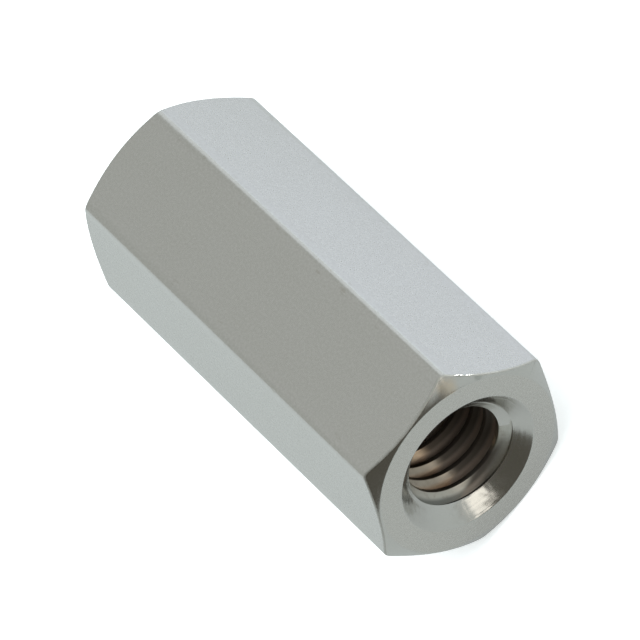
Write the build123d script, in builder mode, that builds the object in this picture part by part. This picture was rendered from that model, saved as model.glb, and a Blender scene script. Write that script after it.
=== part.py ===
"""Hex standoff: one piece turned from hexagonal bar, with a thread right through it.

The body lies on one flat of the hexagon, with the bore along X. The origin is under
the middle of the body, on the surface that it lies on. Lengths are in millimetres.
"""
import os
from math import radians, sqrt, tan

from build123d import *

# The bar
across_flats = 5.0
body_length = 12.0
long_edge_radius = 0.2

# The thread, which is cut outwards from a bore of the thread's minor diameter
thread_major_diameter = 3.0
thread_pitch = 0.5

# The turned ends, which are alike
end_face_inset = 0.065
end_chamfer_angle = 30.0
countersink_margin = 0.325
countersink_half_angle = 45.0
edge_break = 0.03

# The bore keeps five eighths of the height of a sharp sixty degree thread
sharp_thread_height = sqrt(3) / 2 * thread_pitch
bore_radius = thread_major_diameter / 2 - 5 / 8 * sharp_thread_height

# The end face lies between the countersink's mouth and the corner chamfer
mouth_radius = thread_major_diameter / 2 + countersink_margin
end_face_radius = across_flats / 2 - end_face_inset
countersink_depth = (mouth_radius - bore_radius) / tan(radians(countersink_half_angle))

# The turned profile runs past the hexagon's corners, so the flats cut it off
profile_radius = across_flats / sqrt(3) + end_face_inset
chamfer_depth = (profile_radius - end_face_radius) * tan(radians(end_chamfer_angle))

half_length = body_length / 2
bore_height = across_flats / 2

# Across the bar: local x is the part's Y, so two corners point sideways
across_bar = Plane(origin=(0, 0, bore_height), x_dir=(0, 1, 0), z_dir=(1, 0, 0))

# Along the bar: local x runs along the bore, and local y is the distance from it
along_bar = Plane(origin=(0, 0, bore_height), x_dir=(1, 0, 0), z_dir=(0, -1, 0))
bore_axis = Axis(origin=(0, 0, bore_height), direction=(1, 0, 0))

with BuildPart() as hex_standoff:
    # The drawn bar, with its six long edges rounded
    with BuildSketch(across_bar):
        RegularPolygon(radius=across_flats / 2, side_count=6, major_radius=False)
    extrude(amount=half_length, both=True)
    fillet(hex_standoff.edges().filter_by(Axis.X), radius=long_edge_radius)

    # The lathe's cuts as one half section: faced and chamfered ends, bore, countersinks
    with BuildSketch(along_bar) as turned_section:
        with BuildLine():
            Polyline(
                (0, bore_radius),
                (half_length - countersink_depth, bore_radius),
                (half_length, mouth_radius),
                (half_length, end_face_radius),
                (half_length - chamfer_depth, profile_radius),
                (0, profile_radius),
                close=True,
            )
        make_face()
        end_corners = turned_section.vertices().group_by(Axis.X)[-1]
        fillet(end_corners, radius=edge_break)
        mirror(about=Plane.YZ)
    revolve(axis=bore_axis, revolution_arc=360, mode=Mode.INTERSECT)

hex_standoff.part.label = "hex_standoff"

os.makedirs("parts", exist_ok=True)
export_step(hex_standoff.part, "parts/hex_standoff.step")
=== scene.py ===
from math import atan2, ceil, cos, hypot, pi, radians, sin, sqrt, tan

import bmesh
import bpy
from mathutils import Euler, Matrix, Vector


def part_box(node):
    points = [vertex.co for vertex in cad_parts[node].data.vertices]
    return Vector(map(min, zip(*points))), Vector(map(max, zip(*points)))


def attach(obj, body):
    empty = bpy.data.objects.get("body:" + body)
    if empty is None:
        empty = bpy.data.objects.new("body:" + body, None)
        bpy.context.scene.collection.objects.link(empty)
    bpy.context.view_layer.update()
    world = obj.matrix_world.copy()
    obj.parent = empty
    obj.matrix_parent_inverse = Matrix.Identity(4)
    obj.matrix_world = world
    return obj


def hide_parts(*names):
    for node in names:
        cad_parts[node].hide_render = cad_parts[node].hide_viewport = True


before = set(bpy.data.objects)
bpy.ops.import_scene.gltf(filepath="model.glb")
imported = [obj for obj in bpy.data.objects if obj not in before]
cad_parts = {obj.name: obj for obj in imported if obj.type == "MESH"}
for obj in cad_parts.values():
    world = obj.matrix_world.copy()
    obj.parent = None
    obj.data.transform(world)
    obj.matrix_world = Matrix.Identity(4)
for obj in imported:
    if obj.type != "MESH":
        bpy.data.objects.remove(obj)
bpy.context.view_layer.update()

low, high = (Vector(corner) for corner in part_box("hex_standoff"))
body_length = high.x - low.x
across_flats = high.z - low.z
half_length = body_length / 2
body_centre = (low + high) / 2


# The camera is a long lens that looks down on the near end of the standoff. It is rolled well
# over, as the photograph is, so that the bore runs from corner to corner of the picture.
view_azimuth = 101.52
view_elevation = 50.37
camera_roll = -61.41
camera_distance = 0.17286
lens_mm = 417.2
film_mm = 36
aim_right = 0.000024
aim_up = 0.000063

camera_turn = Euler((0, 0, radians(camera_roll))).to_matrix()
camera_turn = Euler((radians(90 - view_elevation), 0, 0)).to_matrix() @ camera_turn
camera_turn = Euler((0, 0, radians(view_azimuth))).to_matrix() @ camera_turn
camera_place = body_centre + camera_turn @ Vector((aim_right, aim_up, camera_distance))
bpy.ops.object.camera_add(location=camera_place, rotation=camera_turn.to_euler())
camera = bpy.context.object
camera.name = "camera"
camera.data.lens = lens_mm
camera.data.sensor_width = film_mm
camera.data.clip_start = 0.01
camera.data.clip_end = 20
bpy.context.scene.camera = camera
bpy.context.scene.view_settings.view_transform = "Standard"


# The room. A pale window stands low behind the far side, and the ceiling and walls are mid grey,
# the walls a little darker. To the camera the background is plain white.
ceiling_colour = (0.52, 0.548, 0.543, 1)
wall_colour = (0.485, 0.515, 0.505, 1)
window_colour = (0.80, 0.865, 0.90, 1)
backdrop_colour = (1, 1, 1, 1)
ceiling_line = (0.62, 0.78)
window_edges = (radians(92), radians(168))
window_top = sin(radians(27))
soft_edge = radians(6)

world = bpy.data.worlds.new("studio")
bpy.context.scene.world = world
world.use_nodes = True
room = world.node_tree
room.nodes.clear()


def join(tree, operation, first, second=None):
    """One math node of a node tree, fed by outputs or plain numbers."""
    node = tree.nodes.new("ShaderNodeMath")
    node.operation = operation
    for socket, value in zip(node.inputs, (first, second)):
        if isinstance(value, bpy.types.NodeSocket):
            tree.links.new(value, socket)
        elif value is not None:
            socket.default_value = value
    return node.outputs[0]


def times(tree, first, second):
    """Two factors multiplied."""
    return join(tree, "MULTIPLY", first, second)


def step_between(tree, source, start, end):
    """A smooth step from 0 at start to 1 at end."""
    ramp = tree.nodes.new("ShaderNodeMapRange")
    ramp.interpolation_type = "SMOOTHSTEP"
    ramp.inputs["From Min"].default_value = start
    ramp.inputs["From Max"].default_value = end
    tree.links.new(source, ramp.inputs["Value"])
    return ramp.outputs["Result"]


def blend_colours(tree, factor, first, second):
    """A mix of two colours, each an output or a plain colour."""
    mix = tree.nodes.new("ShaderNodeMix")
    mix.data_type = "RGBA"
    tree.links.new(factor, mix.inputs["Factor"])
    for socket, value in ((mix.inputs[6], first), (mix.inputs[7], second)):
        if isinstance(value, bpy.types.NodeSocket):
            tree.links.new(value, socket)
        else:
            socket.default_value = value
    return mix.outputs[2]


def axes_of(tree, place):
    """The X, Y and Z of a place, as outputs."""
    split = tree.nodes.new("ShaderNodeSeparateXYZ")
    tree.links.new(place, split.inputs[0])
    return split.outputs


direction = room.nodes.new("ShaderNodeTexCoord")
axes = axes_of(room, direction.outputs["Generated"])
height = axes["Z"]
bearing = join(room, "ARCTAN2", axes["Y"], axes["X"])


def patch_of_room(edges, top):
    """The share of the room that lies between two bearings and below a height."""
    after_first = step_between(room, bearing, edges[0] - soft_edge, edges[0] + soft_edge)
    before_last = step_between(room, bearing, edges[1] + soft_edge, edges[1] - soft_edge)
    below_top = step_between(room, height, top + soft_edge, top - soft_edge)
    return times(room, times(room, after_first, before_last), below_top)


walls = blend_colours(room, step_between(room, height, *ceiling_line), wall_colour, ceiling_colour)
walls = blend_colours(room, patch_of_room(window_edges, window_top), walls, window_colour)
rays = room.nodes.new("ShaderNodeLightPath")
backdrop = blend_colours(room, rays.outputs["Is Camera Ray"], walls, backdrop_colour)
background = room.nodes.new("ShaderNodeBackground")
room.links.new(backdrop, background.inputs["Color"])
output = room.nodes.new("ShaderNodeOutputWorld")
room.links.new(background.outputs[0], output.inputs["Surface"])


# The tabletop is smooth white card, and it keeps the part's shadow. To the metal the card shows
# painted
# shade and light: grey in front of the near end and paler towards the window. To the camera the
# card is evenly white.
floor_size = 6.0
card_colour = (0.86, 0.88, 0.90, 1)
card_shade_painted = (0.255, 0.28, 0.28, 1)
card_half_shade_painted = (0.345, 0.385, 0.40, 1)
card_window_light_painted = (0.49, 0.53, 0.615, 1)
card_far_light_painted = (0.62, 0.70, 0.77, 1)
own_light_colour = (0.97, 1, 1, 1)
own_light_seen = 0.5
own_light_reflected = 0.3
behind_end_reach = (0.0085, 0.001)
window_way = (0.34, 0.94, 0)
near_window_reach = (-0.001, 0.0095)
under_window_reach = (0.014, 0.036)


def reach_toward(tree, place, way):
    """How far each place lies along a direction, in metres."""
    dot = tree.nodes.new("ShaderNodeVectorMath")
    dot.operation = "DOT_PRODUCT"
    dot.inputs[1].default_value = way
    tree.links.new(place, dot.inputs[0])
    return dot.outputs["Value"]


def between(tree, factor, low_value, high_value):
    """Carries a factor of 0 to 1 over to a range of values."""
    ramp = tree.nodes.new("ShaderNodeMapRange")
    ramp.inputs["To Min"].default_value = low_value
    ramp.inputs["To Max"].default_value = high_value
    tree.links.new(factor, ramp.inputs["Value"])
    return ramp.outputs["Result"]


bpy.ops.mesh.primitive_plane_add(size=floor_size)
floor = bpy.context.object
floor.name = "tabletop"
card = bpy.data.materials.new("white_card")
card.use_nodes = True
sheet = card.node_tree
sheet.nodes.clear()
place = sheet.nodes.new("ShaderNodeTexCoord").outputs["Object"]
behind_end = step_between(sheet, axes_of(sheet, place)["X"], *behind_end_reach)
toward_window = reach_toward(sheet, place, window_way)
near_window = times(sheet, step_between(sheet, toward_window, *near_window_reach), behind_end)
under_window = times(sheet, step_between(sheet, toward_window, *under_window_reach), behind_end)
rays = sheet.nodes.new("ShaderNodeLightPath")
# The card as the metal sees it: painted shade in front of the near end, painted light towards the
# window
card_light_painted = blend_colours(sheet, behind_end, card_shade_painted, card_half_shade_painted)
card_light_painted = blend_colours(sheet, near_window, card_light_painted, card_window_light_painted)
card_light_painted = blend_colours(sheet, under_window, card_light_painted, card_far_light_painted)
as_seen = blend_colours(sheet, rays.outputs["Is Camera Ray"], card_light_painted, card_colour)
surface = sheet.nodes.new("ShaderNodeBsdfDiffuse")
sheet.links.new(as_seen, surface.inputs["Color"])
own_light = between(sheet, rays.outputs["Is Camera Ray"], own_light_reflected, own_light_seen)
glow = sheet.nodes.new("ShaderNodeEmission")
glow.inputs["Color"].default_value = own_light_colour
sheet.links.new(own_light, glow.inputs["Strength"])
both = sheet.nodes.new("ShaderNodeAddShader")
sheet.links.new(surface.outputs[0], both.inputs[0])
sheet.links.new(glow.outputs[0], both.inputs[1])
output = sheet.nodes.new("ShaderNodeOutputMaterial")
sheet.links.new(both.outputs[0], output.inputs["Surface"])
floor.data.materials.append(card)


# A flag of black paper stands in a curve in front of the near end, out of the picture. It makes
# the dark half of the countersink and the dark line of the chamfer. Its end is cut lower.
flag_distance = 0.0125
flag_colour = (0.095, 0.09, 0.075, 1)
flag_start = radians(-76)
flag_cuts = ((0.006, radians(20.5)), (0.0145, radians(12.5)))
flag_panels = 720

paper = bpy.data.materials.new("black_paper")
paper.use_nodes = True
paper.node_tree.nodes.clear()
glow = paper.node_tree.nodes.new("ShaderNodeEmission")
glow.inputs["Color"].default_value = flag_colour
output = paper.node_tree.nodes.new("ShaderNodeOutputMaterial")
paper.node_tree.links.new(glow.outputs[0], output.inputs["Surface"])
for flag_height, flag_end in flag_cuts:
    bpy.ops.object.select_all(action="DESELECT")
    bpy.ops.mesh.primitive_cylinder_add(
        vertices=flag_panels,
        radius=flag_distance,
        depth=flag_height,
        end_fill_type="NOTHING",
        location=(half_length, 0, flag_height / 2),
    )
    flag = bpy.context.object
    flag.name = "black_flag"
    bpy.ops.object.mode_set(mode="EDIT")
    mesh = bmesh.from_edit_mesh(flag.data)
    for face in mesh.faces:
        middle = face.calc_center_median()
        face.select = not flag_start < atan2(middle.y, middle.x) < flag_end
    bmesh.update_edit_mesh(flag.data)
    bpy.ops.mesh.delete(type="FACE")
    bpy.ops.object.mode_set(mode="OBJECT")
    flag.data.materials.append(paper)
    flag.visible_camera = False
    flag.visible_diffuse = False
    flag.visible_shadow = False


# Three lamps. A wide soft one overhead lights the tabletop evenly, and a warm one on the camera's
# side makes the bright patch on the far wall of the countersink. A very small low one makes the
# white glints on the rubbed edge at the top corner.
def hang_lamp(name, azimuth, elevation, distance, size, power, colour):
    """A round area lamp that points at the middle of the part."""
    turn = Euler((radians(90 - elevation), 0, 0)).to_matrix()
    turn = Euler((0, 0, radians(azimuth))).to_matrix() @ turn
    spot = body_centre + turn @ Vector((0, 0, distance))
    bpy.ops.object.light_add(type="AREA", location=spot, rotation=turn.to_euler())
    lamp = bpy.context.object
    lamp.name = name
    lamp.data.shape = "DISK"
    lamp.data.size = size
    lamp.data.energy = power
    lamp.data.color = colour
    return lamp


overhead = hang_lamp(
    "overhead_softbox",
    azimuth=0,
    elevation=88,
    distance=0.6,
    size=0.6,
    power=2.6,
    colour=(0.97, 0.99, 1.0),
)
overhead.visible_glossy = False
hang_lamp(
    "warm_lamp",
    azimuth=121,
    elevation=26.5,
    distance=0.5,
    size=0.28,
    power=0.195,
    colour=(1.0, 0.93, 0.84),
)
hang_lamp(
    "glint_lamp",
    azimuth=180,
    elevation=4,
    distance=0.5,
    size=0.05,
    power=0.20,
    colour=(1.0, 1.0, 1.0),
)


# The bar is brass, drawn to a hexagon and cut to length. Its six long edges come out of the die
# with a small radius, and it lies on one flat with two corners pointing sideways.
long_edge_reach = 0.00019
long_edge_fullness = 0.64
long_edge_steps = 14


def take_up(piece):
    """Makes one object the only one that is selected and active."""
    bpy.ops.object.select_all(action="DESELECT")
    piece.select_set(True)
    bpy.context.view_layer.objects.active = piece


def pick_edges(piece, wanted):
    """In edit mode, selects only the edges that pass a test."""
    bpy.ops.mesh.select_mode(type="EDGE")
    bpy.ops.mesh.select_all(action="DESELECT")
    mesh = bmesh.from_edit_mesh(piece.data)
    for edge in mesh.edges:
        edge.select = wanted(edge)
    mesh.select_flush_mode()
    bmesh.update_edit_mesh(piece.data)


take_up(floor)
bpy.ops.mesh.primitive_cylinder_add(
    vertices=6,
    radius=across_flats / sqrt(3),
    depth=body_length,
    location=body_centre,
    rotation=(0, pi / 2, 0),
)
bar = bpy.context.object
bar.name = "standoff_body"
bpy.ops.object.transform_apply(location=True, rotation=True, scale=True)
bpy.ops.object.mode_set(mode="EDIT")
pick_edges(bar, lambda edge: abs(edge.verts[0].co.x - edge.verts[1].co.x) > half_length)
bpy.ops.mesh.bevel(
    offset=long_edge_reach,
    offset_type="OFFSET",
    segments=long_edge_steps,
    profile=long_edge_fullness,
    affect="EDGES",
)
bpy.ops.object.mode_set(mode="OBJECT")


def start_metal(name):
    """A new metal's node tree, its main shader, and places measured from the bore's middle."""
    material = bpy.data.materials.new(name)
    material.use_nodes = True
    tree = material.node_tree
    shader = tree.nodes["Principled BSDF"]
    shader.inputs["Metallic"].default_value = 1
    place = tree.nodes.new("ShaderNodeTexCoord")
    centred = tree.nodes.new("ShaderNodeVectorMath")
    centred.operation = "SUBTRACT"
    centred.inputs[1].default_value = body_centre
    tree.links.new(place.outputs["Object"], centred.inputs[0])
    return material, tree, shader, centred.outputs[0]


def stretched(tree, place, scale):
    """Places scaled by a different number along each axis."""
    scaled = tree.nodes.new("ShaderNodeVectorMath")
    scaled.operation = "MULTIPLY"
    scaled.inputs[1].default_value = scale
    tree.links.new(place, scaled.inputs[0])
    return scaled.outputs[0]


def grain(tree, place, detail, rough):
    """Noise between 0 and 1, one blotch to each unit of the places given."""
    noise = tree.nodes.new("ShaderNodeTexNoise")
    noise.inputs["Scale"].default_value = 1
    noise.inputs["Detail"].default_value = detail
    noise.inputs["Roughness"].default_value = rough
    tree.links.new(place, noise.inputs["Vector"])
    return noise.outputs["Fac"]


def raise_by(tree, height, distance, under=None):
    """A bump of a given height in metres, laid over another bump."""
    bump = tree.nodes.new("ShaderNodeBump")
    bump.inputs["Distance"].default_value = distance
    tree.links.new(height, bump.inputs["Height"])
    if under is not None:
        tree.links.new(under, bump.inputs["Normal"])
    return bump.outputs["Normal"]


def axis_distance(tree, place):
    """How far each place is from the bore's axis, in metres."""
    across = stretched(tree, place, (0, 1, 1))
    length = tree.nodes.new("ShaderNodeVectorMath")
    length.operation = "LENGTH"
    tree.links.new(across, length.inputs[0])
    return length.outputs["Value"]


def blend_to_number(tree, factor, first, number):
    """A mix of an output with a plain number."""
    mix = tree.nodes.new("ShaderNodeMix")
    tree.links.new(factor, mix.inputs["Factor"])
    tree.links.new(first, mix.inputs[2])
    mix.inputs[3].default_value = number
    return mix.outputs[0]


# The flats keep the fine satin of the tumbled plating, with faint draw lines along the bar. The
# long edges are rubbed brighter and carry small nicks. Grain is given as blotches to the metre
# along X, Y and Z, and the height of a bump in metres.
flat_shade = (0.60, 0.58, 0.535, 1)
flat_light = (0.64, 0.62, 0.585, 1)
flat_satin = (0.67, 0.65, 0.61, 1)
nick_colour = (0.50, 0.47, 0.41, 1)
flat_satin_grain = (14000, 14000, 14000)
draw_line_grain = (350, 9000, 9000)
flat_cloud_grain = (420, 800, 800)
nick_grain = (2600, 7000, 7000)
rubbed_radii = (0.00268, 0.00282)
rubbed_roughness = 0.16
draw_line_height = 0.0000012
flat_satin_height = 0.0000024
nick_depth = 0.000002

drawn, tree, shader, place = start_metal("drawn_nickel")
satin = grain(tree, stretched(tree, place, flat_satin_grain), 2.0, 0.7)
lines = grain(tree, stretched(tree, place, draw_line_grain), 3.0, 0.6)
clouds = grain(tree, stretched(tree, place, flat_cloud_grain), 4.0, 0.6)
nicks = grain(tree, stretched(tree, place, nick_grain), 2.0, 0.5)
edge_rub = step_between(tree, axis_distance(tree, place), *rubbed_radii)
nicked = times(tree, step_between(tree, nicks, 0.64, 0.76), edge_rub)

plate = blend_colours(tree, clouds, flat_shade, flat_light)
plate = blend_colours(tree, step_between(tree, satin, 0.35, 0.7), plate, flat_satin)
plate = blend_colours(tree, times(tree, nicked, 0.5), plate, nick_colour)
tree.links.new(plate, shader.inputs["Base Color"])

roughness = between(tree, satin, 0.20, 0.34)
roughness = blend_to_number(tree, times(tree, edge_rub, 0.6), roughness, rubbed_roughness)
tree.links.new(roughness, shader.inputs["Roughness"])

relief = raise_by(tree, lines, draw_line_height)
relief = raise_by(tree, satin, flat_satin_height, relief)
relief = raise_by(tree, nicked, -nick_depth, relief)
tree.links.new(relief, shader.inputs["Normal"])
bar.data.materials.append(drawn)


# The ends are turned in a lathe: each is faced square, chamfered at thirty degrees so that the
# corners of the hexagon are rounded off, and countersunk at ninety degrees for the screw. The
# countersink ends in a flatter lip just above the thread.
end_face_radius = across_flats / 2 - 0.000065
chamfer_angle = radians(30)
mouth_radius = 0.001845
throat_radius = 0.00146
pilot_radius = 0.00115
throat_angle = radians(60)
turned_radius = across_flats / sqrt(3) + 0.0001
turned_steps = 192
rim_break = 0.00002
throat_softness = 0.00004
tolerance = 0.000001

chamfer_depth = (turned_radius - end_face_radius) * tan(chamfer_angle)
countersink_depth = mouth_radius - throat_radius
throat_depth = (throat_radius - pilot_radius) / tan(throat_angle)


def pick_faces(piece, wanted):
    """In edit mode, selects only the faces that pass a test."""
    bpy.ops.mesh.select_mode(type="FACE")
    bpy.ops.mesh.select_all(action="DESELECT")
    mesh = bmesh.from_edit_mesh(piece.data)
    for face in mesh.faces:
        face.select = wanted(face)
    mesh.select_flush_mode()
    bmesh.update_edit_mesh(piece.data)


def from_axis(point):
    """The distance of a point from the bore's axis."""
    return hypot(point.y - body_centre.y, point.z - body_centre.z)


def on_rim(edge):
    """True on the circles of the end face and of the countersink's mouth."""
    ends = [vertex.co for vertex in edge.verts]
    at_end = all(abs(abs(end.x) - half_length) < tolerance for end in ends)
    same_circle = abs(from_axis(ends[0]) - from_axis(ends[1])) < tolerance
    return at_end and same_circle


def on_throat(edge):
    """True on the circle where the countersink turns into the lip."""
    return all(abs(from_axis(vertex.co) - throat_radius) < 10 * tolerance for vertex in edge.verts)


take_up(floor)
bpy.ops.mesh.primitive_cylinder_add(
    vertices=turned_steps,
    radius=turned_radius,
    depth=body_length - 2 * chamfer_depth,
    location=body_centre,
    rotation=(0, pi / 2, 0),
)
blank = bpy.context.object
blank.name = "turned_blank"
bpy.ops.object.transform_apply(location=True, rotation=True, scale=True)
bpy.ops.object.mode_set(mode="EDIT")
pick_faces(blank, lambda face: abs(face.normal.x) > 0.9)
bpy.ops.mesh.inset(thickness=turned_radius - end_face_radius, depth=chamfer_depth)
bpy.ops.mesh.inset(thickness=end_face_radius - mouth_radius, depth=0)
bpy.ops.mesh.inset(thickness=mouth_radius - throat_radius, depth=-countersink_depth)
bpy.ops.mesh.inset(thickness=throat_radius - pilot_radius, depth=-throat_depth)
bpy.ops.mesh.bridge_edge_loops()
pick_edges(blank, on_rim)
bpy.ops.mesh.bevel(offset=rim_break, offset_type="OFFSET", segments=3, affect="EDGES")
pick_edges(blank, on_throat)
bpy.ops.mesh.bevel(offset=throat_softness, offset_type="OFFSET", segments=4, affect="EDGES")
bpy.ops.object.mode_set(mode="OBJECT")


def distance_from(tree, place, point):
    """How far each place is from one point, in metres."""
    apart = tree.nodes.new("ShaderNodeVectorMath")
    apart.operation = "DISTANCE"
    apart.inputs[1].default_value = point
    tree.links.new(place, apart.inputs[0])
    return apart.outputs["Value"]


def rolled_out(tree, radius, around, rings_per_metre, marks_per_radian):
    """Places on a turned face, with the rings along X and the way round the axis along Y."""
    flat = tree.nodes.new("ShaderNodeCombineXYZ")
    tree.links.new(times(tree, radius, rings_per_metre), flat.inputs["X"])
    tree.links.new(times(tree, around, marks_per_radian), flat.inputs["Y"])
    return flat.outputs[0]


# The lathe leaves fine rings on the faced end and in the countersink. In the countersink the
# tool chattered, so the rings break up into short facets, and a few rings are cut deeper. The
# plating is worn to brass at one corner of the chamfer, with a small dark spot beside it.
end_shade = (0.60, 0.59, 0.55, 1)
end_light = (0.64, 0.63, 0.60, 1)
end_satin = (0.635, 0.62, 0.585, 1)
bare_brass = (0.72, 0.61, 0.47, 1)
dark_spot_colour = (0.20, 0.21, 0.18, 1)
end_satin_grain = (16000, 16000, 16000)
end_cloud_grain = (900, 900, 900)
wear_grain = (5000, 5000, 5000)
worn_corner = (half_length, 0.00131, 0.00226)
worn_reach = (0.00036, 0.00014)
dark_spot_place = (half_length - 0.00005, 0.0019, 0.00165)
dark_spot_reach = (0.00017, 0.00002)
ring_height = 0.000001
deep_ring_depth = 0.000005
end_satin_height = 0.00000015
facet_height = 0.0000065

turned, tree, shader, place = start_metal("turned_nickel")
radius = axis_distance(tree, place)
axes = axes_of(tree, place)
around = join(tree, "ARCTAN2", axes["Z"], axes["Y"])
rings = grain(tree, rolled_out(tree, radius, around, 42000, 2.2), 2.0, 0.55)
deep_rings = grain(tree, rolled_out(tree, radius, around, 13000, 0.9), 1.0, 0.5)
facets = tree.nodes.new("ShaderNodeTexVoronoi")
facets.feature = "SMOOTH_F1"
facets.inputs["Scale"].default_value = 1
facets.inputs["Smoothness"].default_value = 0.35
tree.links.new(rolled_out(tree, radius, around, 6500, 7), facets.inputs["Vector"])
satin = grain(tree, stretched(tree, place, end_satin_grain), 2.0, 0.7)
clouds = grain(tree, stretched(tree, place, end_cloud_grain), 3.0, 0.6)
blotches = grain(tree, stretched(tree, place, wear_grain), 2.0, 0.5)
in_countersink = step_between(tree, radius, mouth_radius + 0.00002, mouth_radius - 0.00006)

plate = blend_colours(tree, clouds, end_shade, end_light)
plate = blend_colours(tree, step_between(tree, satin, 0.4, 0.75), plate, end_satin)
worn = step_between(tree, distance_from(tree, place, worn_corner), *worn_reach)
worn = times(tree, worn, between(tree, blotches, -0.1, 1.3))
plate = blend_colours(tree, worn, plate, bare_brass)
# A small dark spot beside the worn corner
dark_spot = step_between(tree, distance_from(tree, place, dark_spot_place), *dark_spot_reach)
plate = blend_colours(tree, times(tree, dark_spot, blotches), plate, dark_spot_colour)
tree.links.new(plate, shader.inputs["Base Color"])
tree.links.new(between(tree, satin, 0.17, 0.25), shader.inputs["Roughness"])

# The deeper rings are plainest in the upper half, and the facets on the side away from +Y
upper_half = between(tree, step_between(tree, axes["Z"], -0.0003, 0.0004), 0.15, 1.0)
deep_rings = times(tree, step_between(tree, deep_rings, 0.56, 0.70), upper_half)
chattered_side = between(tree, step_between(tree, axes["Y"], 0.0008, 0.0002), 0.3, 1.0)
chatter = times(tree, times(tree, facets.outputs["Distance"], in_countersink), chattered_side)
relief = raise_by(tree, rings, ring_height)
relief = raise_by(tree, times(tree, deep_rings, in_countersink), -deep_ring_depth, relief)
relief = raise_by(tree, satin, end_satin_height, relief)
relief = raise_by(tree, chatter, facet_height, relief)
tree.links.new(relief, shader.inputs["Normal"])
blank.data.materials.append(turned)


# The thread is cut by a tap right through the body: M3, sixty degrees, half a millimetre to a
# turn. The tap is modelled as one tooth, wound along the bore, and then taken out of the body.
major_radius = 0.0015
thread_pitch = 0.0005
flank_slope = tan(radians(30))
minor_radius = major_radius - 5 / 8 * sqrt(3) / 2 * thread_pitch
root_flat = thread_pitch / 8
thread_depth = major_radius - minor_radius
flank_run = thread_depth * flank_slope
crest_flat = thread_pitch - root_flat - 2 * flank_run
turns_in_body = ceil(body_length / thread_pitch)
tap_turns = turns_in_body + 4
first_crest_depth = 0.00074
first_crest_angle = radians(-150)
corner_break = 0.000026
steps_per_turn = 96
weld_gap = 0.0000001

take_up(floor)
bpy.ops.mesh.primitive_plane_add(size=thread_pitch)
tap = bpy.context.object
tap.name = "tap"
bpy.ops.object.mode_set(mode="EDIT")
bpy.ops.mesh.select_mode(type="VERT")
bpy.ops.mesh.select_all(action="SELECT")
bpy.ops.mesh.merge(type="CENTER")
bpy.ops.transform.translate(value=(0, minor_radius, 0))
corners = [Vector((0, 0))]
for along, out in (
    (crest_flat / 2, 0),
    (flank_run, thread_depth),
    (root_flat, 0),
    (flank_run, -thread_depth),
    (crest_flat / 2, 0),
):
    corners.append(corners[-1] + Vector((along, out)))
tooth = [corners[0]]
for before, corner, after in zip(corners, corners[1:], corners[2:]):
    arrive = corner + corner_break * (before - corner).normalized()
    leave = corner + corner_break * (after - corner).normalized()
    tooth += [arrive, (arrive + 2 * corner + leave) / 4, leave]
tooth.append(corners[-1])
for here, there in zip(tooth, tooth[1:]):
    along, out = there - here
    bpy.ops.mesh.extrude_region_move(TRANSFORM_OT_translate={"value": (along, out, 0)})
bpy.ops.object.mode_set(mode="OBJECT")
winding = tap.modifiers.new("winding", "SCREW")
winding.axis = "X"
winding.angle = 2 * pi
winding.screw_offset = thread_pitch
winding.iterations = tap_turns
winding.steps = steps_per_turn
winding.render_steps = steps_per_turn
winding.use_merge_vertices = True
winding.merge_threshold = weld_gap
take_up(tap)
bpy.ops.object.modifier_apply(modifier="winding")
bpy.ops.object.mode_set(mode="EDIT")
bpy.ops.mesh.select_all(action="SELECT")
bpy.ops.mesh.remove_doubles(threshold=weld_gap)
bpy.ops.mesh.select_mode(type="EDGE")
bpy.ops.mesh.select_all(action="DESELECT")
bpy.ops.mesh.select_non_manifold()
bpy.ops.mesh.fill_holes(sides=0)
bpy.ops.mesh.select_all(action="SELECT")
bpy.ops.mesh.normals_make_consistent(inside=False)
bpy.ops.object.mode_set(mode="OBJECT")
tap_start = half_length - first_crest_depth
tap_start -= (turns_in_body + 1) * thread_pitch
tap.rotation_euler = (first_crest_angle, 0, 0)
tap.location = (tap_start, body_centre.y, body_centre.z)
take_up(tap)
bpy.ops.object.transform_apply(location=True, rotation=True, scale=True)


def larger(tree, first, second):
    """The larger of two factors."""
    return join(tree, "MAXIMUM", first, second)


# Down the bore the plating turns warmer and is painted darker with shade, then bare brass shows,
# and deeper still the brass is painted dark with shade. The roots of the thread are painted with
# shade, and painted shade also lies over one side of the thread and along the bottom of the bore.
# Depths are measured in from the end of the body, in metres.
thread_plate = (0.56, 0.55, 0.50, 1)
plate_with_painted_shade = (0.43, 0.375, 0.31, 1)
thread_brass = (0.64, 0.485, 0.345, 1)
deep_bore_shade = (0.26, 0.20, 0.16, 1)
tarnish_colour = (0.26, 0.20, 0.15, 1)
root_painted_shade = (0.20, 0.197, 0.178, 1)
brown_root = (0.55, 0.41, 0.30, 1)
shade_patch_on_crest = (0.135, 0.115, 0.10, 1)
shade_patch_in_root = (0.46, 0.385, 0.33, 1)
plate_shade_depths = (0.0004, 0.001)
bare_depths = (0.0015, 0.0021)
deep_shade_depths = (0.0024, 0.005)
brown_root_depths = (0.0006, 0.001)
root_radii = (minor_radius + 0.00009, minor_radius + 0.0002)
shaded_roots_side_reach = (0.0003, -0.0003)
shaded_roots_depths = (0.00046, 0.00058)
side_shade_way = (0, cos(radians(-10)), sin(radians(-10)))
side_shade_slant = 0.1
side_shade_reach = (-0.00046, -0.00008)
side_shade_depths = (0.00068, 0.00085)
bottom_shade_way = (0, cos(radians(-86)), sin(radians(-86)))
bottom_shade_reach = (0.00108, 0.00124)
bottom_shade_depths = (0.00042, 0.00056)
shade_patch_cover = 0.92
shade_patch_roughness = 0.6
tarnish_grain = (6000, 6000, 6000)
cutting_grain = (30000, 3000, 3000)
cutting_height = 0.000002
tarnish_height = 0.000003

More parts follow.
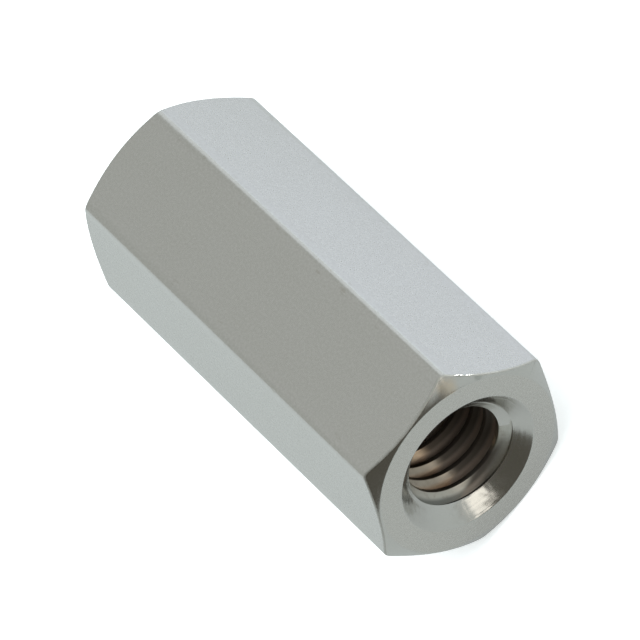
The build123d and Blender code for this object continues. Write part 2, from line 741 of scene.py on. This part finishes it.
threaded, tree, shader, place = start_metal("threaded_nickel")
axes = axes_of(tree, place)
inward = join(tree, "SUBTRACT", half_length, join(tree, "ABSOLUTE", axes["X"]))
tarnish = grain(tree, stretched(tree, place, tarnish_grain), 4.0, 0.65)
cutting = grain(tree, stretched(tree, place, cutting_grain), 3.0, 0.6)

# The plate turns warmer and, as painted shade, darker from 0.4 mm in; past 2.4 mm the brass is
# painted dark with shade
plate = blend_colours(tree, step_between(tree, inward, *plate_shade_depths), thread_plate, plate_with_painted_shade)
plate = blend_colours(tree, step_between(tree, inward, *bare_depths), plate, thread_brass)
plate = blend_colours(tree, step_between(tree, inward, *deep_shade_depths), plate, deep_bore_shade)
spots = times(tree, step_between(tree, tarnish, 0.5, 0.8), 0.5)
plate = blend_colours(tree, spots, plate, tarnish_colour)

# Painted shade in the roots of the thread: on the side away from +Y near the mouth, and all round
# deeper in
shaded_roots = step_between(tree, axes["Y"], *shaded_roots_side_reach)
shaded_roots = larger(tree, shaded_roots, step_between(tree, inward, *shaded_roots_depths))
in_root = times(tree, step_between(tree, axis_distance(tree, place), *root_radii), shaded_roots)
root = blend_colours(tree, step_between(tree, inward, *brown_root_depths), root_painted_shade, brown_root)
plate = blend_colours(tree, in_root, plate, root)

# Painted shade over one side of the thread and along the bottom of the bore: dark on the crests,
# lighter brown in the roots, and rougher
slanted = join(tree, "MULTIPLY_ADD", inward, side_shade_slant)
tree.links.new(reach_toward(tree, place, side_shade_way), slanted.node.inputs[2])
side_shade = step_between(tree, slanted, *side_shade_reach)
side_shade = times(tree, side_shade, step_between(tree, inward, *side_shade_depths))
bottom_shade = step_between(tree, reach_toward(tree, place, bottom_shade_way), *bottom_shade_reach)
bottom_shade = times(tree, bottom_shade, step_between(tree, inward, *bottom_shade_depths))
shade_patch = larger(tree, side_shade, bottom_shade)
shade_patch_colour = blend_colours(tree, in_root, shade_patch_on_crest, shade_patch_in_root)
plate = blend_colours(tree, times(tree, shade_patch, shade_patch_cover), plate, shade_patch_colour)
tree.links.new(plate, shader.inputs["Base Color"])

roughness = blend_to_number(tree, shade_patch, between(tree, tarnish, 0.22, 0.40), shade_patch_roughness)
tree.links.new(roughness, shader.inputs["Roughness"])
relief = raise_by(tree, cutting, cutting_height)
relief = raise_by(tree, tarnish, tarnish_height, relief)
tree.links.new(relief, shader.inputs["Normal"])
tap.data.materials.append(threaded)


def cut(piece, tool, how):
    """Applies one cut of a tool to the piece, and clears the tool away."""
    step = piece.modifiers.new("cut", "BOOLEAN")
    step.operation = how
    step.solver = "EXACT"
    step.object = tool
    step.material_mode = "TRANSFER"
    take_up(piece)
    bpy.ops.object.modifier_apply(modifier="cut")
    bpy.data.objects.remove(tool)


cut(bar, blank, "INTERSECT")
cut(bar, tap, "DIFFERENCE")


# The plating rounds the sharp line where the chamfer meets each flat. The line is a little burred
# and mostly dull, but beside one top corner it is rubbed bright in spots.
edge_break = 0.000038
edge_break_steps = 3
stray_gap = 0.000002
sharp_line = radians(35)
smooth_up_to = radians(30)
edge_shade = (0.55, 0.535, 0.49, 1)
edge_light = (0.62, 0.615, 0.58, 1)
burr_grain = (5500, 5500, 5500)
spot_grain = (3600, 3600, 3600)
burr_height = 0.000022
rubbed_place = (half_length - 0.0002, 0.00166, 0.0021)
rubbed_reach = (0.00028, 0.0005)


def on_chamfer_line(edge):
    """True on the curved lines between the flats and the cone of the chamfer."""
    if len(edge.link_faces) != 2:
        return False
    ends = [vertex.co for vertex in edge.verts]
    outside = all(from_axis(end) > end_face_radius + 2 * rim_break for end in ends)
    return outside and edge.calc_face_angle() > sharp_line


burred, tree, shader, place = start_metal("rubbed_edge")
burrs = grain(tree, stretched(tree, place, burr_grain), 2.0, 0.5)
spots = grain(tree, stretched(tree, place, spot_grain), 1.0, 0.5)
plate = blend_colours(tree, spots, edge_shade, edge_light)
tree.links.new(plate, shader.inputs["Base Color"])
dulled = step_between(tree, distance_from(tree, place, rubbed_place), *rubbed_reach)
dulled = larger(tree, dulled, step_between(tree, spots, 0.46, 0.64))
tree.links.new(between(tree, dulled, 0.14, 0.5), shader.inputs["Roughness"])
tree.links.new(raise_by(tree, burrs, burr_height), shader.inputs["Normal"])
bar.data.materials.append(burred)

take_up(bar)
bpy.ops.object.mode_set(mode="EDIT")
bpy.ops.mesh.select_all(action="SELECT")
bpy.ops.mesh.remove_doubles(threshold=stray_gap)
pick_edges(bar, on_chamfer_line)
bpy.ops.mesh.bevel(
    offset=edge_break,
    offset_type="OFFSET",
    segments=edge_break_steps,
    affect="EDGES",
    clamp_overlap=False,
    material=len(bar.data.materials) - 1,
)
bpy.ops.object.mode_set(mode="OBJECT")
bpy.ops.object.shade_smooth_by_angle(angle=smooth_up_to)
even = bar.modifiers.new("even_shading", "WEIGHTED_NORMAL")
even.keep_sharp = True
even.weight = 100
bpy.ops.object.modifier_apply(modifier="even_shading")

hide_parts("hex_standoff")
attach(bar, "root")
